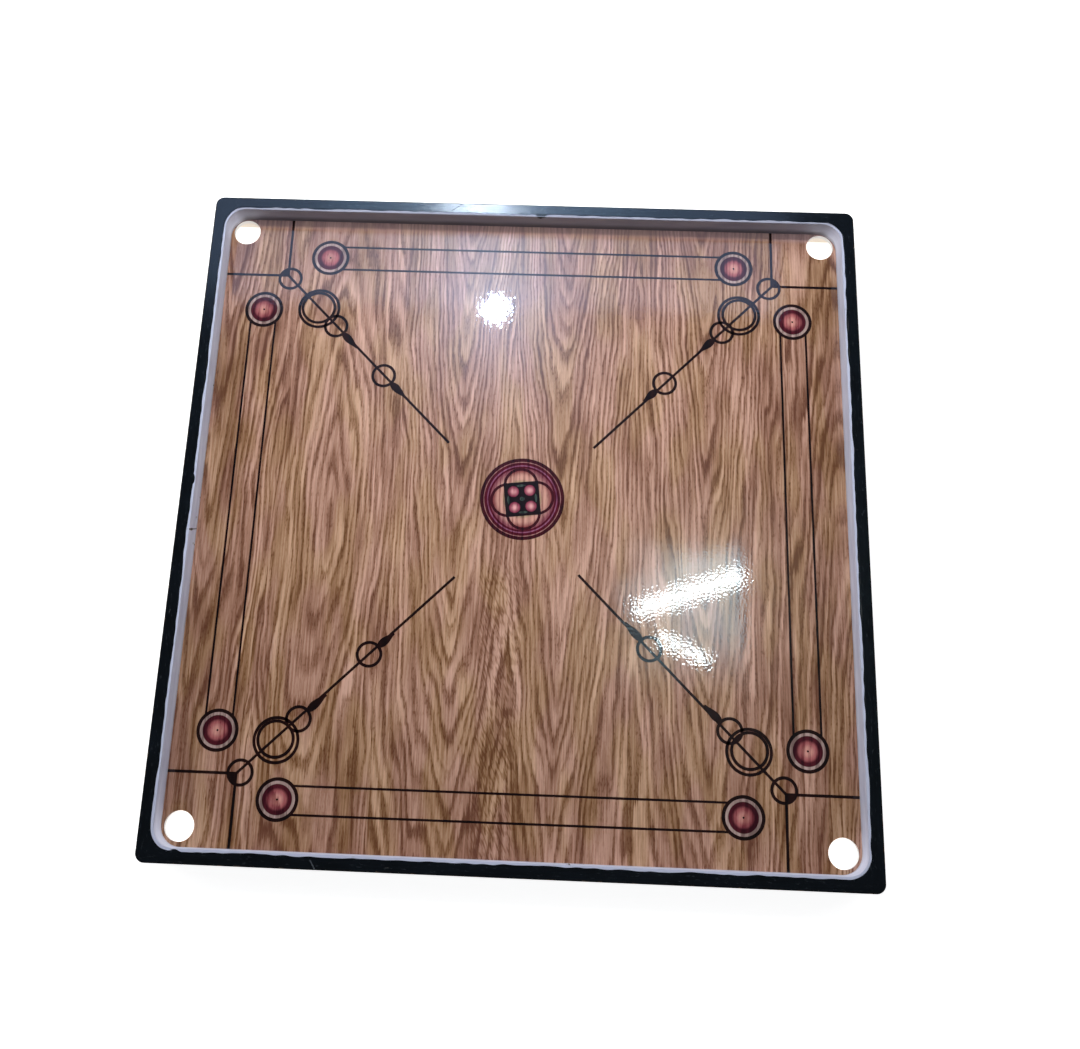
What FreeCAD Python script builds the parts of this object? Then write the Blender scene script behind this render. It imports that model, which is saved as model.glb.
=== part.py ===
import FreeCAD, Part
import math
import os

os.makedirs("parts", exist_ok=True)

# A square carrom board lying flat on its rails. Millimetres, +Z up, with the origin at the middle of
# the underside. Seen by a player sitting at the near rail, +Y is the far side and +X the right.

# ---------------------------------------------------------------- frame
board_side = 762.0            # over the rails, 30 in each way
rail_thickness = 12.0
wall_height = 25.4            # from the playing face up to the top of the rails
outer_corner_radius = 10.0    # the frame's outside corners, rounded in plan
rail_arris = 1.2              # eased outer edges of the rails, above and below
groove_depth = 4.0            # the groove that holds the panel, cut in each rail's inner face
groove_play = 0.15            # room above the face sheet in the groove
panel_play = 0.5              # room between the panel's edge and the groove's bottom

# ---------------------------------------------------------------- playing panel
panel_thickness = 6.0         # plywood
sheet_thickness = 0.6         # printed laminate face
pocket_diameter = 31.8
pocket_gap_side = 3.1         # from the pocket's edge to the liner of the left and right walls
pocket_gap_far = 1.3
pocket_gap_near = 4.9

# ---------------------------------------------------------------- liner and corner blocks
liner_thickness = 3.5
liner_drop = 0.3              # how far the liner's top edge lies under the top of the rails
liner_arris = 0.5
corner_land = 6.1             # the liner's inside bend is this much larger than the pocket's radius
glue_line = 0.1               # between the liner's bend and the corner block
block_tip = 0.8               # thickness of a corner block at its two thin ends
joint_gap = 0.4               # between the ends of the two liner strips
left_joint_y = -27.5          # where the strips meet on the left wall, halfway up it
left_joint_lean = 14.0        # degrees off upright: this joint was sawn by eye
near_joint_x = 63.0           # where they meet on the near wall, cut upright

# ---------------------------------------------------------------- battens under the panel
batten_width = 30.0
batten_height = 16.0
batten_offset = 150.0         # from the board's middle to each batten's centre line
lap_play = 0.1                # room on each side of a half-lap
foot_gap = 2.8                # battens stay this far above what the rails stand on

# ---------------------------------------------------------------- nails and pins
nail_play = 0.05              # round a nail in its hole
tip_length = 2.0              # pointed end of every nail and pin
corner_nail = {"shank": 1.8, "head": 3.6, "head_thickness": 0.8, "bite": 6.5}
batten_nail = {"shank": 2.4, "head": 5.0, "head_thickness": 1.0, "bite": 25.0}
panel_pin = {"shank": 1.4, "head": 3.0, "head_thickness": 0.6, "bite": 9.0}
liner_pin = {"shank": 1.2, "head": 2.4, "head_thickness": 0.5, "bite": 7.0}
corner_nail_inset = 6.0       # from the rails' inside corner to the nail's line
corner_nail_spread = 8.0      # height between the two nails of a corner
liner_pin_inset = 15.0        # from the strips' joint to each pin
liner_pin_level = 6.0         # above the playing face
panel_pin_places = (-260.0, -60.0, 60.0, 260.0)   # along each batten, from its middle

# ---------------------------------------------------------------- worked out from the sizes above
outer_half = board_side / 2
inner_half = outer_half - rail_thickness            # inner face of the rails
wall_half = inner_half - liner_thickness            # inner face of the liner, where the discs bounce
panel_low = foot_gap + batten_height
panel_high = panel_low + panel_thickness
face_level = panel_high + sheet_thickness           # playing face
rail_height = face_level + wall_height
liner_top = rail_height - liner_drop
panel_half = inner_half + groove_depth - panel_play
pocket_radius = pocket_diameter / 2
bend_inside = pocket_radius + corner_land
bend_outside = bend_inside + liner_thickness
pocket_x = wall_half - pocket_gap_side - pocket_radius
pocket_far_y = wall_half - pocket_gap_far - pocket_radius
pocket_near_y = -(wall_half - pocket_gap_near - pocket_radius)
wall_middle = face_level + wall_height / 2

SIDES = {"left": -1, "right": 1}
ENDS = {"far": 1, "near": -1}


def box(x_low, x_high, y_low, y_high, z_low, z_high):
    """A block given by its two opposite corners."""
    corner = FreeCAD.Vector(x_low, y_low, z_low)
    return Part.makeBox(x_high - x_low, y_high - y_low, z_high - z_low, corner)


def square(half, z_low, z_high):
    """An upright prism on a square about the board's middle."""
    return box(-half, half, -half, half, z_low, z_high)


def level_edges(shape, z):
    """The edges of a shape that lie at one height."""
    return [edge for edge in shape.Edges if all(abs(end.Z - z) < 1e-6 for end in edge.Vertexes)]


def rounded_square(half, radius, z_low, z_high):
    """The same prism with its four upright edges rounded."""
    prism = square(half, z_low, z_high)
    level = level_edges(prism, z_low) + level_edges(prism, z_high)
    upright = [edge for edge in prism.Edges if not any(edge.isSame(other) for other in level)]
    return prism.makeFillet(radius, upright)


def about_z(shape, degrees):
    """A copy turned about the board's middle."""
    turned = shape.copy()
    turned.rotate(FreeCAD.Vector(0, 0, 0), FreeCAD.Vector(0, 0, 1), degrees)
    return turned


def make_nail(kind, through, play=0.0):
    """A nail that starts at the origin and is driven along +X through one piece into the next."""
    shank = kind["shank"] / 2 + play
    head = kind["head"] / 2 + play
    tip_start = through + kind["bite"] - tip_length
    along = FreeCAD.Vector(1, 0, 0)
    start = FreeCAD.Vector(0, 0, 0)
    nail = Part.makeCylinder(head, kind["head_thickness"], start, along)
    nail = nail.fuse(Part.makeCylinder(shank, tip_start, start, along))
    tip = Part.makeCone(shank, shank / 4, tip_length + play, FreeCAD.Vector(tip_start, 0, 0), along)
    return nail.fuse(tip).removeSplitter()


def drive(kind, through, point, axis):
    """The nail and the hole that it makes, with its head at a point and driven along an axis."""
    turn = FreeCAD.Rotation(FreeCAD.Vector(1, 0, 0), FreeCAD.Vector(*axis))
    placement = FreeCAD.Placement(FreeCAD.Vector(*point), turn)
    pair = []
    for play in (0.0, nail_play):
        shape = make_nail(kind, through, play)
        shape.Placement = placement
        pair.append(shape)
    return pair


def drive_corner_nails():
    """Two nails at each corner, one through each rail into the corner block, at two heights."""
    line = inner_half - corner_nail_inset
    high = wall_middle + corner_nail_spread / 2
    low = wall_middle - corner_nail_spread / 2
    pairs = []
    for sx in SIDES.values():
        for sy in ENDS.values():
            pairs.append(drive(corner_nail, rail_thickness, (sx * outer_half, sy * line, high), (-sx, 0, 0)))
            pairs.append(drive(corner_nail, rail_thickness, (sx * line, sy * outer_half, low), (0, -sy, 0)))
    return pairs


def drive_batten_nails():
    """One nail through the rail into each end of each batten."""
    level = foot_gap + batten_height / 2
    pairs = []
    for side in (-1, 1):
        for end in (-1, 1):
            across = (end * outer_half, side * batten_offset, level)
            along = (side * batten_offset, end * outer_half, level)
            pairs.append(drive(batten_nail, rail_thickness, across, (-end, 0, 0)))
            pairs.append(drive(batten_nail, rail_thickness, along, (0, -end, 0)))
    return pairs


def drive_panel_pins():
    """Pins down through the panel into the battens, their heads under the face sheet."""
    pairs = []
    for side in (-1, 1):
        for place in panel_pin_places:
            for x, y in ((place, side * batten_offset), (side * batten_offset, place)):
                pairs.append(drive(panel_pin, panel_thickness, (x, y, panel_high), (0, 0, -1)))
    return pairs


def drive_liner_pins():
    """A pin through each end of each liner strip into the rail behind it."""
    pairs = []
    level = face_level + liner_pin_level
    for step in (-liner_pin_inset, liner_pin_inset):
        left = (-wall_half, left_joint_y + step, level)
        near = (near_joint_x + step, -wall_half, level)
        pairs.append(drive(liner_pin, liner_thickness, left, (-1, 0, 0)))
        pairs.append(drive(liner_pin, liner_thickness, near, (0, -1, 0)))
    return pairs


def drilled(shape, pairs):
    """The shape with the nails' holes taken out of it."""
    return shape.cut([hole for _, hole in pairs])


def make_rails():
    """Four mitred rails, cut out of one grooved ring with rounded outside corners."""
    frame = rounded_square(outer_half, outer_corner_radius, 0, rail_height)
    outline = level_edges(frame, 0) + level_edges(frame, rail_height)
    frame = frame.makeFillet(rail_arris, outline)
    frame = frame.cut(square(inner_half, -1, rail_height + 1))
    frame = frame.cut(square(inner_half + groove_depth, panel_low, face_level + groove_play))
    points = [(0, 0), (board_side, board_side), (-board_side, board_side), (0, 0)]
    outline = Part.makePolygon([FreeCAD.Vector(x, y, -1) for x, y in points])
    quarter = Part.Face(outline).extrude(FreeCAD.Vector(0, 0, rail_height + 2))
    turns = {"rail_far": 0, "rail_left": 90, "rail_near": 180, "rail_right": 270}
    return {name: frame.common(about_z(quarter, turn)) for name, turn in turns.items()}


def make_corner_blocks():
    """Blocks that fill each corner behind the liner's bend, up to the top of the rails."""
    hollow_radius = bend_outside + glue_line
    bend_centre = inner_half - bend_outside
    reach = math.sqrt(hollow_radius ** 2 - (hollow_radius - block_tip) ** 2)
    start = bend_centre + reach
    block = box(start, inner_half, start, inner_half, face_level, rail_height)
    centre = FreeCAD.Vector(bend_centre, bend_centre, face_level - 1)
    block = block.cut(Part.makeCylinder(hollow_radius, wall_height + 2, centre))
    turns = {"far_right": 0, "far_left": 90, "near_left": 180, "near_right": 270}
    return {"corner_block_" + name: about_z(block, turn) for name, turn in turns.items()}


def make_liner():
    """The lining of the walls: one long strip round three corners and a short one round the last."""
    ring = rounded_square(inner_half, bend_outside, face_level, liner_top)
    ring = ring.cut(rounded_square(wall_half, bend_inside, face_level - 1, liner_top + 1))
    ring = ring.makeFillet(liner_arris, level_edges(ring, liner_top))
    gap = joint_gap / 2
    left_gap = box(-outer_half, 0, left_joint_y - gap, left_joint_y + gap, 0, 2 * rail_height)
    pivot = FreeCAD.Vector(0, left_joint_y, wall_middle)
    left_gap.rotate(pivot, FreeCAD.Vector(1, 0, 0), left_joint_lean)
    near_gap = box(near_joint_x - gap, near_joint_x + gap, -outer_half, 0, 0, rail_height)
    short, long = sorted(ring.cut([left_gap, near_gap]).Solids, key=lambda solid: solid.Volume)
    return {"liner_long": long, "liner_short": short}


def make_sheet(z_low, z_high):
    """A square sheet in the rails' groove with the four pockets bored through it."""
    sheet = square(panel_half, z_low, z_high)
    for sx in SIDES.values():
        for y in (pocket_far_y, pocket_near_y):
            start = FreeCAD.Vector(sx * pocket_x, y, z_low - 1)
            sheet = sheet.cut(Part.makeCylinder(pocket_radius, z_high - z_low + 2, start))
    return sheet


def make_battens():
    """Two battens each way, half-lapped where they cross, between the rails under the panel."""
    width = batten_width / 2
    notch = width + lap_play
    middle = foot_gap + batten_height / 2
    battens = {}
    for name, sy in ENDS.items():
        y = sy * batten_offset
        batten = box(-inner_half, inner_half, y - width, y + width, foot_gap, panel_low)
        for sx in SIDES.values():
            x = sx * batten_offset
            batten = batten.cut(box(x - notch, x + notch, y - width, y + width, foot_gap, middle))
        battens["batten_" + name] = batten
    for name, sx in SIDES.items():
        x = sx * batten_offset
        batten = box(x - width, x + width, -inner_half, inner_half, foot_gap, panel_low)
        for sy in ENDS.values():
            y = sy * batten_offset
            batten = batten.cut(box(x - width, x + width, y - notch, y + notch, middle, panel_low))
        battens["batten_" + name] = batten
    return battens


def make_board():
    """Every piece of the board by its name."""
    corner_nails = drive_corner_nails()
    batten_nails = drive_batten_nails()
    panel_pins = drive_panel_pins()
    liner_pins = drive_liner_pins()
    board = {}
    for name, rail in make_rails().items():
        board[name] = drilled(rail, corner_nails + batten_nails + liner_pins)
    for name, block in make_corner_blocks().items():
        board[name] = drilled(block, corner_nails)
    for name, strip in make_liner().items():
        board[name] = drilled(strip, liner_pins)
    for name, batten in make_battens().items():
        board[name] = drilled(batten, batten_nails + panel_pins)
    board["panel"] = drilled(make_sheet(panel_low, panel_high), panel_pins)
    board["face_sheet"] = make_sheet(panel_high, face_level)
    groups = {"corner_nails": corner_nails, "batten_nails": batten_nails,
              "panel_pins": panel_pins, "liner_pins": liner_pins}
    for name, pairs in groups.items():
        board[name] = Part.makeCompound([nail for nail, _ in pairs])
    return board


for node, shape in make_board().items():
    if not shape.isValid():
        raise ValueError(node + " is not a valid shape")
    print(node, len(shape.Solids), "solids,", round(shape.Volume), "mm3")
    shape.exportStep("parts/" + node + ".step")
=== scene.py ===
import math

import bmesh
import bpy
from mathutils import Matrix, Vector, noise


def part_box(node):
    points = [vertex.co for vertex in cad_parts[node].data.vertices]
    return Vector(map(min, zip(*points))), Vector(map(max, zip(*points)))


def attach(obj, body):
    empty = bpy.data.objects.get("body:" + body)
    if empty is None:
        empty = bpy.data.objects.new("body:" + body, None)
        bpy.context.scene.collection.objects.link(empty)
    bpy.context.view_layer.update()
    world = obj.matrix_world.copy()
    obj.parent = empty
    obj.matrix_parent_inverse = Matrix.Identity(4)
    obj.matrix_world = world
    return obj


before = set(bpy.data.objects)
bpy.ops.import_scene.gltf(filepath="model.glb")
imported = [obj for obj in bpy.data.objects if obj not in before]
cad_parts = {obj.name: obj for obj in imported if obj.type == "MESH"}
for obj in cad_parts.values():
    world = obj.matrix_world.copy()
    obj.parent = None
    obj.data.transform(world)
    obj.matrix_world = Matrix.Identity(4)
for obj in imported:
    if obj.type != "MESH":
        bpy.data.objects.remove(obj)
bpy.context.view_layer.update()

# The board lies flat on its rails: +X to the player's right, +Y to the far side, +Z up, in metres.
MM = 0.001
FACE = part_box("face_sheet")[1].z                 # the playing face
RAIL_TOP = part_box("rail_far")[1].z
HALF_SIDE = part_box("rail_far")[1].y              # outer face of the rails
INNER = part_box("liner_long")[1].y                # inner face of the rails
LINER_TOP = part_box("liner_long")[1].z
LINER_THICK = 3.5 * MM
WALL = INNER - LINER_THICK                       # inner face of the liner
LINER_BEND = 25.5 * MM                           # outside radius of the liner's bends
POCKET_RADIUS = 15.9 * MM
POCKET_OUT = 346.5 * MM                          # from the pockets' common middle, each way
POCKET_SHIFT = 1.8 * MM                          # how far to the far side that middle lies
ROUND_STEPS = 96


# ---------------------------------------------------------------- shader sums

class Value:
    """A value or a colour in a material. Sums on values add Math nodes."""

    def __init__(self, finish, socket):
        self.finish = finish
        self.socket = socket

    def math(self, operation, *others):
        inputs = dict(enumerate((self, *others)))
        return self.finish.node("ShaderNodeMath", {"operation": operation}, inputs)

    def __add__(self, other):
        return self.math("ADD", other)

    def __sub__(self, other):
        return self.math("SUBTRACT", other)

    def __rsub__(self, other):
        return (self * -1.0).math("ADD", other)

    def __mul__(self, other):
        return self.math("MULTIPLY", other)

    def __truediv__(self, other):
        return self.math("DIVIDE", other)

    def __rtruediv__(self, other):
        return (self ** -1.0) * other

    def __pow__(self, power):
        return self.math("POWER", power)

    __radd__ = __add__
    __rmul__ = __mul__

    def size(self):
        return self.math("ABSOLUTE")

    def least(self, other):
        return self.math("MINIMUM", other)

    def most(self, other):
        return self.math("MAXIMUM", other)

    def above(self, limit):
        return self.math("GREATER_THAN", limit)

    def rise(self, low, high):
        """0 below low, 1 above high and a smooth step between. Low may be the larger one."""
        settings = {"interpolation_type": "SMOOTHSTEP", "clamp": True}
        inputs = {"Value": self, "From Min": low, "From Max": high}
        return self.finish.node("ShaderNodeMapRange", settings, inputs)


class Finish:
    """A material under way, with one shader whose sockets are set or linked by name."""

    def __init__(self, name, **constants):
        self.material = bpy.data.materials.new(name)
        self.material.use_nodes = True
        self.tree = self.material.node_tree
        self.shader = self.tree.nodes["Principled BSDF"]
        for word, value in constants.items():
            socket = word.replace("_", " ").title().replace("Ior", "IOR")
            self.shader.inputs[socket].default_value = value
        self.place = self.node("ShaderNodeNewGeometry", {}, {}, "Position")

    def node(self, kind, settings, inputs, output=0):
        """Adds one node: its settings first, then the values or links of its sockets."""
        node = self.tree.nodes.new(kind)
        for name, setting in settings.items():
            if name == "stops":
                self.set_stops(node.color_ramp, setting)
            else:
                setattr(node, name, setting)
        for name, value in inputs.items():
            if isinstance(value, Value):
                self.tree.links.new(value.socket, node.inputs[name])
            else:
                node.inputs[name].default_value = value
        return Value(self, node.outputs[output])

    @staticmethod
    def set_stops(ramp, stops):
        while len(ramp.elements) < len(stops):
            ramp.elements.new(1.0)
        for element, (position, colour) in zip(ramp.elements, stops):
            element.position = position
            element.color = (*colour, 1.0)

    def link(self, socket, value):
        self.tree.links.new(value.socket, self.shader.inputs[socket])

    def axes(self, vector=None):
        """The x, y and z of a vector, or of the place on the surface."""
        split = self.node("ShaderNodeSeparateXYZ", {}, {0: vector or self.place})
        node = split.socket.node
        return [Value(self, node.outputs[axis]) for axis in range(3)]

    def vector(self, x=0.0, y=0.0, z=0.0):
        return self.node("ShaderNodeCombineXYZ", {}, {0: x, 1: y, 2: z})

    def noise(self, x=0.0, y=0.0, z=0.0, detail=2.0, roughness=0.5):
        """Noise with features about one unit across, mostly from 0.3 to 0.7."""
        where = self.vector(x, y, z)
        inputs = {"Vector": where, "Scale": 1.0, "Detail": detail, "Roughness": roughness}
        return self.node("ShaderNodeTexNoise", {}, inputs)

    def colours(self, value, *stops):
        return self.node("ShaderNodeValToRGB", {"stops": stops}, {0: value})

    def blend(self, factor, first, second, mode="MIX"):
        """From the first colour to the second as the factor goes from 0 to 1."""
        first, second = [c if isinstance(c, Value) else (*c, 1.0) for c in (first, second)]
        settings = {"data_type": "RGBA", "blend_type": mode}
        return self.node("ShaderNodeMix", settings, {0: factor, 6: first, 7: second}, 2)

    def bump(self, height, distance):
        """Sets the surface's relief from heights of 0 to 1, and how deep that is in metres."""
        relief = self.node("ShaderNodeBump", {}, {"Height": height, "Distance": distance})
        self.link("Normal", relief)


def shade(red, green, blue):
    """A colour as linear light, from the 0 to 255 values of a paint card."""
    return tuple(((c / 255 + 0.055) / 1.055) ** 2.4 if c > 10 else c / 255 / 12.92
                 for c in (red, green, blue))


# ---------------------------------------------------------------- oak print

# Printed veneer leaves from left to right: the middle line in mm from the board's middle, and how
# far the arches on it open for each mm along the board.
LEAVES = ((-352.0, 0.08), (-216.0, 0.0), (-72.0, 0.16), (46.0, 0.15), (207.0, 0.13), (402.0, -0.2))
ARCH_REACH = 62.0             # how far from a leaf's middle its arches straighten, in mm
ARCH_START = -130.0           # how far along the board the growth lines cross square, in mm
OVAL_LEAF = (-290.0, -146.0)  # between these the growth rings close into long ovals
OVAL_MIDDLE = -20.0           # how far along the board the ovals are centred, in mm
OVAL_SQUASH = 0.14            # an oval's width over its length
RING_WIDTH = 7.4              # between growth rings on the flanks of a leaf, in mm
TIP_ROUND = 7.0               # rounding of the arches' tips, in mm


def oak_rings(finish):
    """A count of growth rings across the veneer, and the place across and along it in mm."""
    x, y, _ = finish.axes()
    across = x / MM
    along = y / MM
    sway = finish.noise(across / 110.0, along / 330.0, 3.0, detail=0.0) - 0.5
    ripple = finish.noise(across / 26.0, along / 60.0, 7.0, detail=2.0) - 0.5
    swayed = across + sway * 24.0 + ripple * 8.0
    off_middle = (swayed - LEAVES[0][0]).size()
    opening = LEAVES[0][1]
    for middle, leaf_opening in LEAVES[1:]:
        off_leaf = (swayed - middle).size()
        nearer = off_middle.above(off_leaf)
        opening = nearer * (leaf_opening - opening) + opening
        off_middle = off_middle.least(off_leaf)
    oval = swayed.rise(OVAL_LEAF[0] - 1, OVAL_LEAF[0]) * swayed.rise(OVAL_LEAF[1] + 1, OVAL_LEAF[1])
    length = (along - OVAL_MIDDLE) * OVAL_SQUASH * oval
    spread = (off_middle * off_middle + length * length + TIP_ROUND ** 2) ** 0.5
    straighten = 1.0 / ((off_middle / ARCH_REACH) ** 2 + 1.0)
    arch = (along - ARCH_START) * opening * straighten
    drift = finish.noise(across / 60.0, along / 260.0, 11.0, detail=0.0) - 0.5
    crowding = finish.noise(across / 19.0, along / 150.0, 17.0, detail=0.0) - 0.5
    feather = finish.noise(across / 1.9, along / 34.0, 15.0, detail=1.0) - 0.5
    rings = (spread - arch) / RING_WIDTH + drift * 3.0 + crowding * 2.4 + feather * 0.6
    return rings, across, along


def ray_flecks(finish, across, along):
    """Short slanting dashes in the plain stretch between the middle leaves, near the player."""
    dashes = finish.noise((across + along * 0.35) / 2.2, along / 11.0, 51.0, detail=0.0)
    stretch = (across + 18.0).size().rise(30.0, 14.0) * along.rise(-30.0, -80.0)
    return dashes.rise(0.52, 0.36) * stretch


def oak_tone(finish):
    """How light the oak is, from 0 in the darkest pores to 1, and the place across and along in mm."""
    rings, across, along = oak_rings(finish)
    x, y, _ = finish.axes()
    row = rings.math("FRACT")
    depth = finish.noise((rings - row) * 3.7, along / 120.0, 13.0, detail=1.0).rise(0.3, 0.6)
    pore_row = row.rise(0.0, 0.26) * row.rise(0.8, 0.26) * (depth * 0.75 + 0.25)
    bands = finish.noise(rings * 0.8, along / 200.0, 5.0, detail=2.0, roughness=0.6) - 0.5
    fibre = finish.noise(across / 1.9, along / 60.0, 9.0, detail=1.0, roughness=0.6) - 0.5
    pores = finish.noise(across / 1.2, along / 6.0, 2.0, detail=1.0).rise(0.5, 0.34)
    patch = finish.noise(across / 45.0, along / 80.0, 21.0, detail=1.0) - 0.5
    tone = patch * 0.5 + bands * 1.2 + fibre * 0.85 - ray_flecks(finish, across, along) * 0.3 + 0.77
    # Painted shade: the oak is made darker towards the walls, for the shade and falling light near the
    # edges of the face.
    rim = x.size().most(y.size()).rise(0.5 * INNER, INNER)
    tone = tone - pore_row * 0.48 - rim * 0.16
    return tone - pores * (pore_row * 0.27 + 0.06), across, along


def oak_colour(finish):
    """The printed oak, pink with golden patches, and the place across and along in mm."""
    tone, across, along = oak_tone(finish)
    pink = finish.colours(tone, (0.0, shade(100, 62, 46)), (0.3, shade(127, 88, 69)),
                          (0.6, shade(161, 121, 102)), (1.0, shade(206, 166, 148)))
    gold = finish.colours(tone, (0.0, shade(98, 62, 38)), (0.3, shade(126, 89, 61)),
                          (0.6, shade(160, 123, 94)), (1.0, shade(202, 165, 138)))
    golden = finish.noise(across / 30.0, along / 110.0, 31.0, detail=1.0).rise(0.42, 0.6)
    return finish.blend(golden, pink, gold), across, along


# Lacquer: a sharp shine that follows its relief, and a hazy one over it, which is weaker on ink.
GLOSS = dict(roughness=0.02, ior=1.38, coat_weight=1.0, coat_roughness=0.27, coat_ior=1.25)
INK_GLOSS = dict(GLOSS, coat_weight=0.45)
LACQUER_DEPTH = 0.018 * MM
# A pale lilac band along the foot of the far wall: dust, and a painted sheen for the lamps' hazy
# reflection that the wall blocks.
DUST_AND_SHEEN_START = 15.0              # from the far wall, in mm
DUST_AND_SHEEN_FULL = 5.0


def lacquer_relief(finish, across, along):
    """Small dimples and a slow swell in the lacquer, so reflections have ragged edges."""
    dimples = finish.noise(across / 2.8, along / 2.6, 41.0, detail=0.0)
    swell = finish.noise(across / 30.0, along / 40.0, 43.0, detail=1.0)
    finish.bump(dimples * 1.6 + swell, LACQUER_DEPTH)


def make_face_finish():
    """Printed oak under lacquer, with dust and a painted sheen in a pale band along the foot of the far
    wall.
    """
    finish = Finish("oak_print_lacquered", **GLOSS)
    colour, across, along = oak_colour(finish)
    # Dust and painted sheen: the face is coloured pale lilac near the far wall, in place of the hazy
    # reflection there.
    dust_and_sheen = along.rise(WALL / MM - DUST_AND_SHEEN_START, WALL / MM - DUST_AND_SHEEN_FULL) * 0.4
    finish.link("Base Color", finish.blend(dust_and_sheen, colour, shade(176, 158, 172)))
    lacquer_relief(finish, across, along)
    return finish.material


def make_ink_finish(name, dark, light):
    """Printing ink, a little lighter where the oak print under it is light."""
    finish = Finish(name, **INK_GLOSS)
    tone, across, along = oak_tone(finish)
    finish.link("Base Color", finish.colours(tone, (0.2, dark), (0.9, light)))
    lacquer_relief(finish, across, along)
    return finish.material


def from_middle(finish, turn=0.0, beads=0.0):
    """The distance in mm from the piece's own middle, or from the nearest of four beads.

    The beads stand on the corners of a square turned by some degrees, this far out each way."""
    local = finish.node("ShaderNodeTexCoord", {}, {}, "Object")
    x, y, _ = finish.axes(local)
    cosine, sine = math.cos(math.radians(turn)), math.sin(math.radians(turn))
    across = (x * cosine + y * sine) / MM
    along = (y * cosine - x * sine) / MM
    if beads:
        across = across.size() - beads
        along = along.size() - beads
    return (across * across + along * along) ** 0.5


def make_round_finish(name, zones, turn=0.0, beads=0.0):
    """Ink whose colour changes with the distance from the middle.

    A zone is the two distances between which its ink takes over, then its colour over the oak's
    dark and light streaks."""
    finish = Finish(name, **INK_GLOSS)
    tone, across, along = oak_tone(finish)
    radius = from_middle(finish, turn, beads)
    colour = None
    for start, end, dark, light in zones:
        ink = finish.colours(tone, (0.2, shade(*dark)), (0.9, shade(*light)))
        colour = finish.blend(radius.rise(start, end), colour, ink) if colour else ink
    finish.link("Base Color", colour)
    lacquer_relief(finish, across, along)
    return finish.material


# ---------------------------------------------------------------- closed meshes

def close_block(mesh, low, high):
    """Closes a block between two equal loops of corners."""
    mesh.faces.new(low[::-1])
    mesh.faces.new(high)
    for i in range(len(low)):
        j = (i + 1) % len(low)
        mesh.faces.new((low[i], low[j], high[j], high[i]))


def close_strip(mesh, sections):
    """Joins a run of equal cross-sections into one closed band that meets itself."""
    rows = [[mesh.verts.new(point) for point in section] for section in sections]
    for i, row in enumerate(rows):
        after = rows[(i + 1) % len(rows)]
        for k in range(len(row)):
            j = (k + 1) % len(row)
            mesh.faces.new((row[k], after[k], after[j], row[j]))


def add_piece(name, mesh, material):
    """Puts a finished bmesh in the scene as a piece of the board."""
    bmesh.ops.recalc_face_normals(mesh, faces=mesh.faces)
    data = bpy.data.meshes.new(name)
    mesh.to_mesh(data)
    mesh.free()
    piece = bpy.data.objects.new(name, data)
    bpy.context.scene.collection.objects.link(piece)
    data.materials.append(material)
    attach(piece, "root")
    return piece


# ---------------------------------------------------------------- printed marks

MARK_RISE = 0.05 * MM          # how far ink stands above the face
MARK_STEP = 0.012 * MM         # each further layer of ink stands this much higher
MARK_SINK = 0.02 * MM


class Marks:
    """Flat inked shapes, in mm on the playing face, gathered into one piece."""

    def __init__(self, name, centre=(0.0, 0.0)):
        self.name = name
        self.centre = centre
        self.mesh = bmesh.new()

    def loop(self, outline, z):
        """A loop of corners over an outline in mm, at a height in metres."""
        return [self.mesh.verts.new(((x - self.centre[0]) * MM, (y - self.centre[1]) * MM, z))
                for x, y in outline]

    def prism(self, outline, layer):
        """A thin closed block on an outline that goes round anticlockwise."""
        low = self.loop(outline, FACE - MARK_SINK)
        high = self.loop(outline, FACE + MARK_RISE + layer * MARK_STEP)
        close_block(self.mesh, low, high)

    def disc(self, centre, radius, layer=0):
        self.prism(circle(centre, radius), layer)

    def ring(self, centre, outside, stroke, layer=0):
        """A closed ring of ink with the given outside radius and stroke."""
        top = FACE + MARK_RISE + layer * MARK_STEP
        bottom = FACE - MARK_SINK
        inside = outside - stroke
        section = ((outside, bottom), (outside, top), (inside, top), (inside, bottom))
        loops = [self.loop(circle(centre, radius), z) for radius, z in section]
        for first, second in zip(loops, loops[1:] + loops[:1]):
            for i in range(ROUND_STEPS):
                j = (i + 1) % ROUND_STEPS
                self.mesh.faces.new((first[i], first[j], second[j], second[i]))

    def bar(self, start, end, width, end_width=None, layer=0):
        """A straight line of ink, which may taper."""
        start, end = Vector(start), Vector(end)
        side = (end - start).normalized().orthogonal()
        near, far = side * width / 2, side * (end_width or width) / 2
        self.prism([start - near, end - far, end + far, start + near], layer)

    def dart(self, start, end, widths, layer=0):
        """An arrowhead whose widths are given at even steps from start to end."""
        start, end = Vector(start), Vector(end)
        side = (end - start).normalized().orthogonal()
        spots = [start.lerp(end, i / (len(widths) - 1)) for i in range(len(widths))]
        right = [spot - side * width / 2 for spot, width in zip(spots, widths)]
        left = [spot + side * width / 2 for spot, width in zip(spots, widths)]
        self.prism(right + left[::-1], layer)

    def finish(self, material):
        piece = add_piece(self.name, self.mesh, material)
        piece.location = (self.centre[0] * MM, self.centre[1] * MM, 0.0)


def circle(centre, radius):
    steps = [2 * math.pi * i / ROUND_STEPS for i in range(ROUND_STEPS)]
    return [(centre[0] + radius * math.cos(a), centre[1] + radius * math.sin(a)) for a in steps]


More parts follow.
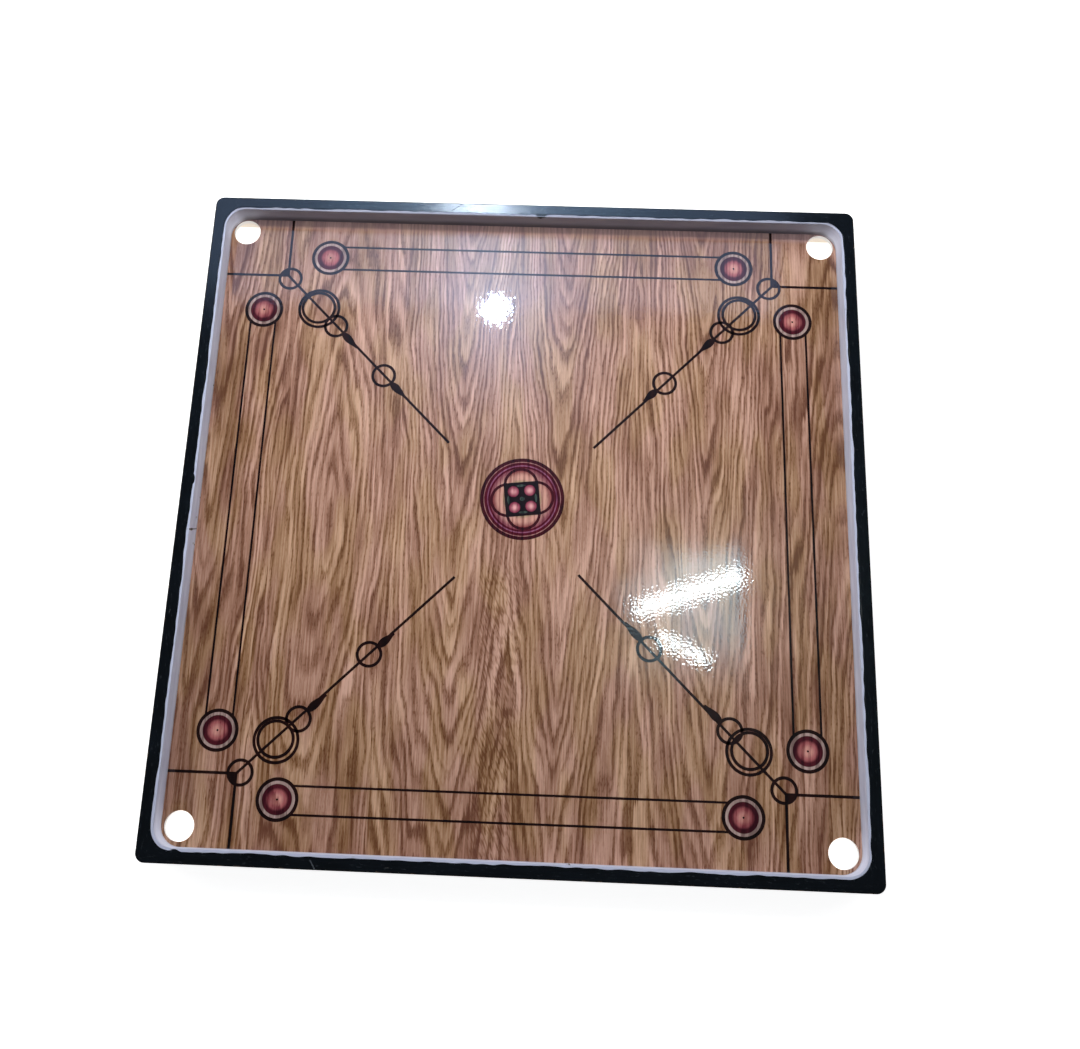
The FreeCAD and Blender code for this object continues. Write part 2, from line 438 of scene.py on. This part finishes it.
# Base circles and lines, in mm.
BASE_CIRCLES = {
    "far_left": (-242, 317), "far_right": (243, 317),
    "left_far": (-316, 247), "left_near": (-317, -245),
    "right_far": (311, 250), "right_near": (313, -243),
    "near_left": (-246, -314), "near_right": (244, -313),
}
BASE_PAIRS = {
    "far": ("far_left", "far_right"), "left": ("left_near", "left_far"),
    "right": ("right_near", "right_far"), "near": ("near_left", "near_right"),
}
BASE_RING_RADIUS = 22.8
BASE_RING_STROKE = 3.7
BASE_DOT_RADIUS = 1.1
BASE_DISC_LAP = 0.5                    # how far the red disc runs under its ring
BASE_LINE_STROKE = 2.5
BASE_LINE_OFFSETS = (14.5, -15.0)      # from the circles' middles to the two lines
SMALL_RADIUS = 14.6
BIG_RADIUS = 25.3
BIG_INSET = 4.6                        # from the big ring to the ring inside it
BIG_INNER_SHIFT = (0.6, 1.0)           # that ring's middle, outward and to the far side
DART_LAP = 1.5                         # how far an arrowhead runs under its ring
DART_WIDTHS = (5.0, 7.8, 9.2, 9.0, 7.6, 5.6, 3.6, 2.8)
RING_STROKE = 3.4
DIAGONAL_STROKE = 3.0
FIELD_LINE_STROKE = 3.1

# Each corner's marks, in mm: where the field lines cross, then the rings and arrows inward from it.
CORNERS = {
    "far_left": dict(
        cross=(-291, 292), corner=(-288, 288), big=(-250, 250), second=(-228, 228),
        first_tip=(-201, 201), third=(-167, 167), second_tip=(-140, 141), end=(-86, 87)),
    "far_right": dict(
        cross=(288, 295), corner=(284, 292), big=(248, 256), second=(228, 234),
        first_tip=(202, 209), third=(161, 168), second_tip=(137, 145), end=(80, 86)),
    "near_left": dict(
        cross=(-292, -289), corner=(-288, -288), big=(-253, -253), second=(-231, -230),
        first_tip=(-203, -203), third=(-160, -158), second_tip=(-134, -134), end=(-71, -69)),
    "near_right": dict(
        cross=(289, -288), corner=(287, -284), big=(251, -246), second=(231, -225),
        first_tip=(204, -199), third=(145, -141), second_tip=(118, -113), end=(66, -62)),
}


def make_base_circles(ink, red):
    """Eight red discs in black rings, each with a dot in its middle."""
    for name, centre in BASE_CIRCLES.items():
        ring = Marks("base_ring_" + name, centre)
        ring.ring(centre, BASE_RING_RADIUS, BASE_RING_STROKE, layer=1)
        ring.disc(centre, BASE_DOT_RADIUS, layer=1)
        ring.finish(ink)
        disc = Marks("base_disc_" + name, centre)
        disc.disc(centre, BASE_RING_RADIUS - BASE_RING_STROKE + BASE_DISC_LAP)
        disc.finish(red)


def make_base_lines(ink):
    """Two lines between each pair of base circles, running from ring to ring."""
    for side, (first, second) in BASE_PAIRS.items():
        marks = Marks("base_lines_" + side)
        start, end = Vector(BASE_CIRCLES[first]), Vector(BASE_CIRCLES[second])
        along = (end - start).normalized()
        across = Vector((-along.y, along.x))
        for offset in BASE_LINE_OFFSETS:
            reach = math.sqrt((BASE_RING_RADIUS - BASE_RING_STROKE / 2) ** 2 - offset ** 2)
            shift = across * offset
            marks.bar(start + along * reach + shift, end - along * reach + shift, BASE_LINE_STROKE)
        marks.finish(ink)


def make_arrow(name, spots, ink):
    """A corner's field lines, diagonal arrow and rings."""
    marks = Marks("corner_arrow_" + name)
    cross = Vector(spots["cross"])
    outward = Vector((math.copysign(1, cross.x), math.copysign(1, cross.y)))
    wall = WALL / MM
    marks.bar(cross, (outward.x * wall, cross.y), FIELD_LINE_STROKE)
    marks.bar(cross, (cross.x, outward.y * wall), FIELD_LINE_STROKE)
    marks.bar(cross, spots["end"], DIAGONAL_STROKE)
    rings = {"corner": SMALL_RADIUS, "big": BIG_RADIUS, "second": SMALL_RADIUS, "third": SMALL_RADIUS}
    for spot, radius in rings.items():
        marks.ring(spots[spot], radius, RING_STROKE, layer=1)
    shift = Vector((BIG_INNER_SHIFT[0] * outward.x, BIG_INNER_SHIFT[1]))
    marks.ring(Vector(spots["big"]) + shift, BIG_RADIUS - BIG_INSET, RING_STROKE, layer=2)
    for ring, tip in (("second", "first_tip"), ("third", "second_tip")):
        middle, point = Vector(spots[ring]), Vector(spots[tip])
        along = (point - middle).normalized()
        marks.dart(middle + along * (SMALL_RADIUS - DART_LAP), point, DART_WIDTHS, 2)
    marks.prism(corner_wedge(cross, Vector(spots["corner"]), outward), 2)
    marks.finish(ink)


def corner_wedge(cross, centre, outward):
    """The part of the corner ring between the two field lines, on the pocket's side."""
    radius = SMALL_RADIUS - 1.0
    away = cross - centre
    reach_x = math.sqrt(radius ** 2 - away.y ** 2)
    reach_y = math.sqrt(radius ** 2 - away.x ** 2)
    start = math.atan2(away.y, outward.x * reach_x)
    end = math.atan2(outward.y * reach_y, away.x)
    turn = (end - start + math.pi) % (2 * math.pi) - math.pi
    angles = [start + turn * i / 16 for i in range(17)]
    arc = [(centre.x + radius * math.cos(a), centre.y + radius * math.sin(a)) for a in angles]
    outline = [tuple(cross)] + arc
    return outline if turn > 0 else outline[::-1]


ROSETTE_MIDDLE = Vector((0.6, 23.2))
ROSETTE_TURN = 6.5             # degrees anticlockwise
PETAL_PLACE = 16.6             # from the rosette's middle to a petal's
PETAL_RADIUS = 19.8
CORE_CORNER = 28.0
BEAD_PLACE = 9.3               # how far out each way the beads are
LEAF_PLACE = 15.6              # small leaves inside the square's sides
LEAF_REACH = 5.0
LEAF_WIDTHS = (0.6, 2.2, 3.0, 2.4, 0.6)
GROUND_RADIUS = 46.0
RIM_RING = (47.8, 4.0)         # outside radius and stroke
BAND_RINGS = ((42.9, 3.1), (38.4, 2.2))
PETAL_STROKE = 3.2
PETAL_LAP = 1.5                # how far a petal's fill runs under its outline
HEART_RADIUS = 2.6


def rosette_spot(away, angle):
    """A place in the rosette, from its distance from the middle and its angle in degrees."""
    turned = math.radians(angle + ROSETTE_TURN)
    return ROSETTE_MIDDLE + Vector((math.cos(turned), math.sin(turned))) * away


def make_rosette(ink, maroon, wash, petal, bead, green):
    """The middle rosette: rings, four overlapping petals and a dark square with four beads."""
    ground = Marks("rosette_ground", ROSETTE_MIDDLE)
    ground.disc(ROSETTE_MIDDLE, GROUND_RADIUS)
    ground.finish(wash)
    rim = Marks("rosette_rim")
    rim.ring(ROSETTE_MIDDLE, *RIM_RING, layer=1)
    band = Marks("rosette_band")
    for radius, stroke in BAND_RINGS:
        band.ring(ROSETTE_MIDDLE, radius, stroke, layer=1)
    fills = Marks("rosette_petals", ROSETTE_MIDDLE)
    for quarter in range(4):
        spot = rosette_spot(PETAL_PLACE, 90 * quarter)
        fills.disc(spot, PETAL_RADIUS - PETAL_LAP, layer=1 + quarter)
        rim.ring(spot, PETAL_RADIUS, PETAL_STROKE, layer=6)
    fills.finish(petal)
    band.finish(maroon)
    rim.finish(ink)
    core = Marks("rosette_core", ROSETTE_MIDDLE)
    core.prism([rosette_spot(CORE_CORNER, 45 + 90 * quarter) for quarter in range(4)], 7)
    core.finish(bead)
    leaves = Marks("rosette_leaves")
    for quarter in range(4):
        middle = rosette_spot(LEAF_PLACE, 90 * quarter)
        along = rosette_spot(1.0, 90 * quarter + 90) - ROSETTE_MIDDLE
        leaves.dart(middle - along * LEAF_REACH, middle + along * LEAF_REACH, LEAF_WIDTHS, 8)
    leaves.disc(ROSETTE_MIDDLE, HEART_RADIUS, layer=8)
    leaves.finish(green)


def make_print():
    """All the inked marks on the face."""
    ink = make_ink_finish("ink_black", shade(12, 2, 2), shade(38, 14, 10))
    maroon = make_ink_finish("ink_maroon", shade(48, 2, 16), shade(84, 14, 32))
    rim_ink = make_ink_finish("ink_dark_maroon", shade(34, 2, 10), shade(62, 12, 22))
    red = make_round_finish("ink_base_red", (
        (0.0, 0.0, (150, 90, 86), (214, 156, 146)), (3.0, 9.0, (112, 48, 56), (178, 102, 104)),
        (8.5, 12.5, (46, 6, 18), (80, 22, 34)), (15.6, 16.4, (120, 98, 94), (190, 166, 160))))
    wash = make_round_finish("ink_rosette_wash", (
        (0.0, 0.0, (130, 84, 82), (206, 160, 150)), (27.0, 36.0, (92, 34, 50), (140, 76, 88)),
        (37.5, 38.5, (98, 42, 70), (148, 88, 118)), (42.0, 43.0, (110, 62, 64), (172, 122, 118))))
    petal = make_round_finish("ink_petal", (
        (0.0, 0.0, (92, 78, 58), (168, 146, 112)), (19.0, 24.0, (146, 96, 88), (208, 160, 146)),
        (26.0, 34.0, (84, 20, 30), (138, 60, 64))))
    bead = make_round_finish("ink_bead", (
        (0.0, 0.0, (190, 128, 134), (226, 172, 172)), (0.5, 5.6, (112, 34, 58), (150, 66, 88)),
        (5.4, 6.8, (12, 4, 8), (28, 14, 18))), ROSETTE_TURN, BEAD_PLACE)
    make_base_circles(ink, red)
    make_base_lines(ink)
    for name, spots in CORNERS.items():
        make_arrow(name, spots, ink)
    green = make_ink_finish("ink_leaf_green", shade(28, 38, 36), shade(64, 78, 72))
    make_rosette(rim_ink, maroon, wash, petal, bead, green)


# ---------------------------------------------------------------- frame, liner and underside

# Scratches over a far or near rail: the middle in mm, and the lean to the right going to the far side.
GOUGE = ((-90.0, 375.0), 1.4)
GRAZE = ((-198.0, -376.0), -0.6)
DRIP_PLACE = 11.0              # along the far wall, in mm


def scratch(x, y, middle, slope):
    """1 along a short scratch over a rail, through a point and leaning by the slope."""
    from_x = x - middle[0] * MM
    from_y = y - middle[1] * MM
    away = (from_x - from_y * slope).size()
    return away.rise(1.0 * MM, 0.5 * MM) * from_y.size().rise(5.5 * MM, 4.0 * MM)


def along_and_across(x, y):
    """The place along the nearest rail, and across it."""
    far_side = y.size().above(x.size())
    near_x = 1.0 - far_side
    return x * far_side + y * near_x, y * far_side + x * near_x


def unpainted(x, y, z):
    """1 on the inner sides of the rails below the panel."""
    out = x.size().most(y.size())
    return out.rise(INNER + 0.6 * MM, INNER + 0.3 * MM) * z.rise(FACE - 6 * MM, FACE - 7 * MM)


def far_wall_drip(x, y):
    """1 where the dull drip laps over the far liner's top."""
    over_liner = y.rise(WALL - 1.0 * MM, WALL) * y.rise(INNER + 0.4 * MM, INNER)
    return (x - DRIP_PLACE * MM).size().rise(8.0 * MM, 5.0 * MM) * over_liner


def make_paint_finish():
    """Black gloss paint brushed along the rails, with dust, scuffs and worn edges."""
    finish = Finish("black_frame_paint", ior=1.36, coat_weight=0.1, coat_roughness=0.2)
    x, y, z = finish.axes()
    along, across = along_and_across(x, y)
    brush = finish.noise(along / (60 * MM), across / (1.2 * MM), z / (1.2 * MM), detail=3.0)
    scuff = finish.noise(along / (9 * MM), across / (2.5 * MM), z / (5 * MM), detail=4.0,
                         roughness=0.7)
    blotch = finish.noise(x / (30 * MM), y / (30 * MM), z / (30 * MM), detail=3.0)
    edge = (x.size().most(y.size())).rise(HALF_SIDE - 2.0 * MM, HALF_SIDE)
    edge = edge * (z.rise(RAIL_TOP - 3 * MM, RAIL_TOP) + z.rise(2 * MM, 0.0))
    worn = (edge * 0.22 + scuff).rise(0.72, 0.8)
    dusty = scuff.rise(0.58, 0.7) * 0.3
    paint = finish.colours(blotch * 0.6 + brush * 0.4, (0.35, shade(3, 6, 10)), (0.65, shade(9, 15, 22)))
    paint = finish.blend(dusty, paint, shade(60, 66, 72))
    paint = finish.blend(worn, paint, shade(120, 96, 74))
    dull = scratch(x, y, *GOUGE).most(far_wall_drip(x, y))
    paint = finish.blend(dull, paint, shade(2, 3, 5))
    paint = finish.blend(scratch(x, y, *GRAZE), paint, shade(70, 76, 82))
    bare = unpainted(x, y, z)
    grain = finish.colours(brush, (0.3, shade(236, 231, 222)), (0.7, shade(250, 248, 243)))
    finish.link("Base Color", finish.blend(bare, paint, grain))
    side = z.rise(RAIL_TOP - 0.5 * MM, RAIL_TOP - 1.5 * MM)
    finish.link("Roughness", brush * 0.1 + scuff * 0.16 + (bare + dull) * 0.4 + side * 0.25 + 0.01)
    finish.bump(brush * 0.6 + scuff * 0.4, 0.04 * MM)
    return finish.material


def make_liner_finish():
    """Pale plastic strip with rubbed marks and a little grime near the face, with painted shade on its
    top and far wall.
    """
    finish = Finish("pale_liner", ior=1.4)
    x, y, z = finish.axes()
    along, _ = along_and_across(x, y)
    mottle = finish.noise(along / (45 * MM), z / (9 * MM), 2.0, detail=3.0)
    rub = finish.noise(along / (14 * MM), z / (1.5 * MM), 8.0, detail=3.0, roughness=0.6)
    plastic = finish.colours(mottle, (0.3, shade(204, 208, 232)), (0.7, shade(226, 230, 250)))
    # Painted shade: the top of the liner is coloured darker than its face, for how the light falls on
    # it.
    painted_top_shade = z.rise(LINER_TOP - 0.9 * MM, LINER_TOP - 0.2 * MM) * (mottle * 0.6 + 0.3)
    plastic = finish.blend(painted_top_shade, plastic, shade(164, 172, 200))
    # Painted shade: the far wall, which faces away from the lamps, is coloured darker, most of all
    # towards its foot.
    foot = z.rise(FACE + 13.0 * MM, FACE + 2.0 * MM)
    painted_far_wall_shade = y.rise(WALL - 6.0 * MM, WALL) * (foot * 0.42 + 0.42)
    plastic = finish.blend(painted_far_wall_shade, plastic, shade(92, 86, 90))
    grime = z.rise(FACE + 7 * MM, FACE) * rub.rise(0.3, 0.7) * 0.6 + rub.rise(0.62, 0.78) * 0.25
    finish.link("Base Color", finish.blend(grime, plastic, shade(120, 112, 112)))
    finish.link("Roughness", rub * 0.3 + 0.5)
    finish.bump(rub, 0.08 * MM)
    return finish.material


def raw_grain(finish, along, across, up, streak):
    """How light raw wood is: long streaks of the given width, with fine fibres."""
    grain = finish.noise(along / (90 * MM), across / streak, up / (4 * MM), detail=4.0)
    fibre = finish.noise(along / (14 * MM), across / (0.5 * MM), up / MM, detail=2.0)
    return grain * 0.7 + fibre * 0.3


def finish_raw_wood(finish, colour, tone):
    """Gives raw wood its colour, and the dull, rough surface that goes with its grain."""
    finish.link("Base Color", colour)
    finish.link("Roughness", 0.85 - tone * 0.3)
    finish.bump(tone, 0.15 * MM)
    return finish.material


def make_batten_finish(name, along_axis):
    """Raw pine with its grain along one axis, 0 for x or 1 for y."""
    finish = Finish(name, roughness=0.7)
    place = finish.axes()
    tone = raw_grain(finish, place[along_axis], place[1 - along_axis], place[2], 3.2 * MM)
    colour = finish.colours(tone, (0.32, shade(168, 122, 76)), (0.62, shade(214, 178, 128)))
    return finish_raw_wood(finish, colour, tone)


def make_ply_finish():
    """Birch plywood with pale, cleanly bored pockets."""
    finish = Finish("plywood", roughness=0.7)
    x, y, z = finish.axes()
    tone = raw_grain(finish, x, y, z, 12 * MM)
    sheet = finish.colours(tone, (0.32, shade(178, 140, 98)), (0.62, shade(222, 192, 150)))
    layers = (z / (1.2 * MM)).math("FRACT").rise(0.42, 0.58)
    cut = finish.blend(layers * 0.25, shade(240, 242, 244), shade(214, 208, 200))
    off_x = x.size() - POCKET_OUT
    off_y = (y - POCKET_SHIFT).size() - POCKET_OUT
    from_pocket = (off_x * off_x + off_y * off_y) ** 0.5
    bore = from_pocket.rise(POCKET_RADIUS + 0.6 * MM, POCKET_RADIUS + 0.3 * MM)
    return finish_raw_wood(finish, finish.blend(bore, sheet, cut), tone)


def make_steel_finish():
    """Bright drawn steel for the pins, a little speckled."""
    finish = Finish("bright_pin_steel", metallic=1.0)
    x, y, z = finish.axes()
    speckle = finish.noise(x / (0.8 * MM), y / (0.8 * MM), z / (0.8 * MM), detail=3.0)
    steel = finish.colours(speckle, (0.3, shade(96, 96, 98)), (0.7, shade(150, 150, 152)))
    finish.link("Base Color", steel)
    finish.link("Roughness", speckle * 0.3 + 0.25)
    finish.bump(speckle, 0.05 * MM)
    return finish.material


# ---------------------------------------------------------------- paint over the liner

# Where the black paint ran further over the liner: the place in mm, the run's half length and reach.
PAINT_RUNS = (((DRIP_PLACE, 369.0), 7.0, 2.6), ((-340.0, -369.0), 6.0, 2.4), ((-369.0, 27.0), 6.0, 1.9))
PAINT_REACH = 0.9              # usual lap over the liner, in mm, and its limits
LEAST_REACH = 0.1
MOST_REACH = 2.9
EDGE_STEP = 2.0 * MM
BEND_STEPS = 20


def edge_walk(half, radius):
    """Places and outward directions, anticlockwise round a square with rounded corners."""
    spots = []
    straight = half - radius
    count = round(2 * straight / EDGE_STEP)
    for quarter in range(4):
        turn = math.pi / 2 * quarter
        out = Vector((math.cos(turn), math.sin(turn)))
        side = Vector((-out.y, out.x))
        for i in range(count):
            spots.append((out * half + side * straight * (2 * i / count - 1), out))
        for i in range(BEND_STEPS):
            angle = turn + math.pi / 2 * i / BEND_STEPS
            direction = Vector((math.cos(angle), math.sin(angle)))
            spots.append(((out + side) * straight + direction * radius, direction))
    return spots


def paint_reach(spot):
    """How far in mm the brushed paint laps over the liner's top at a place on its outer edge."""
    wave = noise.noise(Vector((spot.x / 0.06, spot.y / 0.06, 1.0)))
    ripple = noise.noise(Vector((spot.x / 0.013, spot.y / 0.013, 5.0)))
    reach = PAINT_REACH + wave * 1.2 + ripple * 1.1
    for place, length, depth in PAINT_RUNS:
        away = (spot / MM - Vector(place)).length / length
        reach += depth * max(0.0, 1.0 - away * away)
    return min(max(reach, LEAST_REACH), MOST_REACH)


def make_paint_edge(paint):
    """The ragged edge of the black paint where it laps from the rails over the liner's top."""
    sections = []
    for spot, out in edge_walk(INNER, LINER_BEND):
        reach = paint_reach(spot) * MM
        inner = spot - out * reach
        lip = spot - out * reach * 0.15
        outer = spot + out * 0.3 * MM
        sections.append(((*outer, RAIL_TOP - 0.2 * MM), (*outer, RAIL_TOP + 0.03 * MM),
                         (*spot, RAIL_TOP + 0.02 * MM), (*lip, LINER_TOP + 0.08 * MM),
                         (*inner, LINER_TOP + 0.06 * MM), (*inner, LINER_TOP - 0.06 * MM)))
    mesh = bmesh.new()
    close_strip(mesh, sections)
    add_piece("paint_edge", mesh, paint)


# Smears of paint and dirt on the liner: along the wall and up it in mm, from a place at its foot.
LEFT_JOINT_PLACE = -24.4       # along the left wall, in mm
NEAR_JOINT_PLACE = 63.0        # along the near wall, in mm
LEFT_JOINT_SMEAR = ((0.4, 0.3), (2.5, 8.0), (3.9, 13.0), (5.8, 16.0), (6.5, 20.0), (6.3, 22.5),
                    (7.2, 25.0), (5.4, 25.0), (4.4, 21.0), (3.0, 17.5), (2.7, 13.0), (-0.5, 0.3))
NEAR_JOINT_SMEAR = ((-0.5, 1.0), (-0.6, 9.0), (-0.9, 22.0), (-3.5, 24.6),
                    (1.0, 25.0), (0.8, 17.0), (0.5, 1.0))
FAR_DRIP = ((-7.0, 25.0), (-4.6, 23.6), (-2.2, 22.9), (0.4, 21.2),
            (2.0, 21.4), (4.4, 23.4), (7.5, 25.0))
SPECK = ((-1.1, 0.7), (0.4, 0.3), (1.2, 1.4), (0.2, 2.4), (-0.9, 1.9))
SPECK_PLACES = (-43.0, 12.0, 148.0)     # along the left wall
SMEAR_SINK = 0.1 * MM
SMEAR_RISE = 0.12 * MM


def make_smear(name, foot, along, outline, paint):
    """A thin smear of paint on the liner's wall, its outline given along the wall and up it."""
    inward = Vector((-along.y, along.x, 0.0))
    mesh = bmesh.new()
    loops = []
    for depth in (-SMEAR_SINK, SMEAR_RISE):
        loops.append([mesh.verts.new(foot + along * s * MM + inward * depth + Vector((0, 0, z * MM)))
                      for s, z in outline])
    close_block(mesh, *loops)
    add_piece(name, mesh, paint)


def make_smears(paint):
    """The dirty joints of the liner, a drip on the far wall and specks on the left one."""
    down_left_wall = Vector((0.0, -1.0, 0.0))
    left_foot = Vector((-WALL, LEFT_JOINT_PLACE * MM, FACE))
    make_smear("left_joint_paint", left_foot, down_left_wall, LEFT_JOINT_SMEAR, paint)
    near_foot = Vector((NEAR_JOINT_PLACE * MM, -WALL, FACE))
    make_smear("near_joint_paint", near_foot, Vector((1.0, 0.0, 0.0)), NEAR_JOINT_SMEAR, paint)
    far_foot = Vector((DRIP_PLACE * MM, WALL, FACE))
    make_smear("far_drip", far_foot, Vector((-1.0, 0.0, 0.0)), FAR_DRIP, paint)
    for number, place in enumerate(SPECK_PLACES):
        foot = Vector((-WALL, place * MM, FACE))
        make_smear("left_speck_%d" % (number + 1), foot, down_left_wall, SPECK, paint)


def paint_nodes(paint):
    """Gives every piece of the design its finish."""
    liner = make_liner_finish()
    steel = make_steel_finish()
    finishes = {
        "face_sheet": make_face_finish(),
        "panel": make_ply_finish(),
        "corner_nails": paint, "batten_nails": paint, "panel_pins": steel, "liner_pins": steel,
        "liner_long": liner, "liner_short": liner,
    }
    batten_x = make_batten_finish("batten_pine_across", 0)
    batten_y = make_batten_finish("batten_pine_along", 1)
    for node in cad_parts:
        if node.startswith(("rail_", "corner_block_")):
            finishes[node] = paint
        if node in ("batten_far", "batten_near"):
            finishes[node] = batten_x
        if node in ("batten_left", "batten_right"):
            finishes[node] = batten_y
    for node, material in finishes.items():
        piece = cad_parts[node]
        piece.data.materials.clear()
        piece.data.materials.append(material)


# ---------------------------------------------------------------- studio

STUDIO_REACH = 12.0
BACKDROP_HEIGHT = 24.0
BACKDROP_INSET = 0.01
BACKDROP_DROP = 0.05


def make_floor():
    """A pale floor that doesn't show in the black paint's gloss."""
    finish = Finish("studio_floor", roughness=0.9, specular_ior_level=0.1, emission_strength=0.9)
    x, y, _ = finish.axes()
    cloud = finish.noise(x / 0.8, y / 0.8)
    pale = finish.colours(cloud, (0.3, (0.78, 0.78, 0.78)), (0.7, (0.82, 0.82, 0.82)))
    finish.link("Base Color", pale)
    finish.shader.inputs["Emission Color"].default_value = (1.0, 1.0, 1.0, 1.0)
    floor = add_stage("floor", STUDIO_REACH, 0.0, finish.material)
    floor.visible_glossy = False


def add_stage(name, reach, height, material):
    """A level square of the studio, or the walls and ceiling of it where a height is given."""
    shape = bmesh.new()
    bmesh.ops.create_grid(shape, x_segments=1, y_segments=1, size=reach)
    if height:
        sides = bmesh.ops.extrude_face_region(shape, geom=list(shape.faces))
        top = [v for v in sides["geom"] if isinstance(v, bmesh.types.BMVert)]
        bmesh.ops.translate(shape, verts=top, vec=(0.0, 0.0, height))
    mesh = bpy.data.meshes.new(name)
    shape.to_mesh(mesh)
    shape.free()
    stage = bpy.data.objects.new(name, mesh)
    mesh.materials.append(material)
    bpy.context.scene.collection.objects.link(stage)
    return stage


def make_backdrop():
    """Pale walls round the studio, which neither light the board nor show in its gloss."""
    finish = Finish("studio_backdrop", roughness=1.0, specular_ior_level=0.0, emission_strength=0.9)
    x, y, z = finish.axes()
    cloud = finish.noise(x / 2.0, y / 2.0, z / 2.0)
    pale = finish.colours(cloud, (0.3, (0.93, 0.95, 0.97)), (0.7, (1.0, 1.0, 1.0)))
    finish.link("Emission Color", pale)
    backdrop = add_stage("backdrop", STUDIO_REACH - BACKDROP_INSET, BACKDROP_HEIGHT, finish.material)
    backdrop.location.z = -BACKDROP_DROP
    backdrop.visible_diffuse = False
    backdrop.visible_glossy = False
    backdrop.visible_shadow = False


BOARD_MIDDLE = (0.0, 0.0, FACE)
WHITE = (1.0, 0.99, 0.97)
PALE_BLUE = (0.75, 0.87, 1.0)
LAMP_BLUE = (0.48, 0.66, 1.0)
GLOW_BLUE = (0.43, 0.62, 1.0)
FAR_BLUE = (0.4, 0.7, 1.0)
TUBE_WHITE = (0.82, 0.96, 1.0)
TRAY_GREEN = (0.62, 0.9, 1.0)
WINDOW_GREEN = (0.5, 0.85, 1.0)
# The dim window's panes, as shares of the largest, and that one's size and place in metres.
PANES = (1.0, 0.92, 0.84, 0.76, 0.68, 0.6, 0.5)
WINDOW_WIDTH = 0.43
WINDOW_LENGTH = 0.36
WINDOW_RIGHT = 0.597           # right edge of every pane
WINDOW_FORWARD = 0.2
WINDOW_HEIGHT = 1.846
PANE_GAP = 0.001
PANE_WATTS = 0.9               # for each square metre, times the pane's number


def add_lamp(name, place, width, length, watts, colour, turn=0.0, aim=None,
             seen_in=("shine", "light"), shape="RECTANGLE"):
    """An area lamp that faces down or towards a point, and may be left out of shine or soft light."""
    lamp = bpy.data.lights.new(name, "AREA")
    lamp.shape = shape
    lamp.size = length
    lamp.size_y = width
    lamp.energy = watts
    lamp.color = colour
    stand = bpy.data.objects.new(name, lamp)
    stand.location = place
    stand.rotation_euler = (0.0, 0.0, math.radians(turn))
    if aim:
        stand.rotation_euler = (Vector(aim) - Vector(place)).to_track_quat("-Z", "Y").to_euler()
    stand.visible_camera = False
    stand.visible_glossy = "shine" in seen_in
    stand.visible_diffuse = "light" in seen_in
    bpy.context.scene.collection.objects.link(stand)


def make_world():
    """A dim blue room round everything."""
    world = bpy.data.worlds.new("studio")
    world.use_nodes = True
    background = world.node_tree.nodes["Background"]
    background.inputs["Color"].default_value = (0.86, 0.92, 1.0, 1.0)
    background.inputs["Strength"].default_value = 0.1
    bpy.context.scene.world = world


def make_lights():
    """Lamps beyond the far side that show in the lacquer, and soft light from above and the sides."""
    make_world()
    shine = {"seen_in": ("shine",)}
    soft = {"seen_in": ("light",), "aim": BOARD_MIDDLE, "shape": "ELLIPSE"}
    add_lamp("round_lamp", (-0.134, 1.095, 1.83), 0.048, 0.068, 21.0, LAMP_BLUE,
             aim=BOARD_MIDDLE, shape="ELLIPSE", **shine)
    add_lamp("key", (-0.1, 0.75, 1.25), 0.12, 0.12, 9.5, WHITE, **soft)
    add_lamp("overhead", (0.02, 0.29, 0.95), 0.3, 0.3, 3.7, WHITE, **soft)
    add_lamp("ceiling_glow", (-0.19, 1.5, 1.83), 0.8, 1.82, 13.5, GLOW_BLUE, **shine)
    add_lamp("far_glow", (-0.2, 1.65, 1.8), 0.3, 0.9, 17.0, FAR_BLUE, **shine)
    add_lamp("long_tube", (0.441, 0.254, 1.83), 0.048, 0.32, 2.4, TUBE_WHITE, turn=20.6, **shine)
    add_lamp("short_tube", (0.424, 0.096, 1.83), 0.028, 0.155, 0.75, TUBE_WHITE, turn=-24.0, **shine)
    add_lamp("far_lamp", (-0.1966, 1.3855, 1.8), 0.045, 0.18, 6.0, PALE_BLUE, **shine)
    add_lamp("tube_tray", (0.43, 0.275, 1.832), 0.13, 0.38, 0.55, TRAY_GREEN, turn=20.6, **shine)
    make_dim_window()
    for name, place, watts in (("left_window", (-3.2, 1.3, 2.0), 36.0),
                               ("right_window", (2.9, 1.8, 2.0), 22.0),
                               ("player_side", (-0.3, -3.2, 2.2), 2.5)):
        add_lamp(name, place, 1.4, 2.2, watts, WHITE, aim=BOARD_MIDDLE)


def make_dim_window():
    """Nested panes with their right edges in line, brighter and lower as they get smaller."""
    for number, share in enumerate(PANES):
        width = WINDOW_WIDTH * share
        length = WINDOW_LENGTH * share
        place = (WINDOW_RIGHT - length / 2, WINDOW_FORWARD + 0.1 * (1 - share),
                 WINDOW_HEIGHT - PANE_GAP * number)
        watts = (number + 1) * PANE_WATTS * width * length
        add_lamp("dim_window", place, width, length, watts, WINDOW_GREEN, seen_in=("shine",))


def make_camera():
    """A camera above the player's side, which looks down on the board."""
    lens = bpy.data.cameras.new("camera")
    lens.sensor_width = 36.0
    lens.lens = 36.17
    lens.shift_x = 0.026
    lens.shift_y = -0.031
    camera = bpy.data.objects.new("camera", lens)
    camera.location = (0.0223, -0.2954, 1.1859 + FACE)
    camera.rotation_euler = [math.radians(angle) for angle in (15.483, 1.005, 2.247)]
    bpy.context.scene.collection.objects.link(camera)
    bpy.context.scene.camera = camera


bpy.context.scene.view_settings.view_transform = "Standard"
make_camera()
make_lights()
make_floor()
make_backdrop()
black_paint = make_paint_finish()
paint_nodes(black_paint)
make_paint_edge(black_paint)
make_smears(black_paint)
make_print()
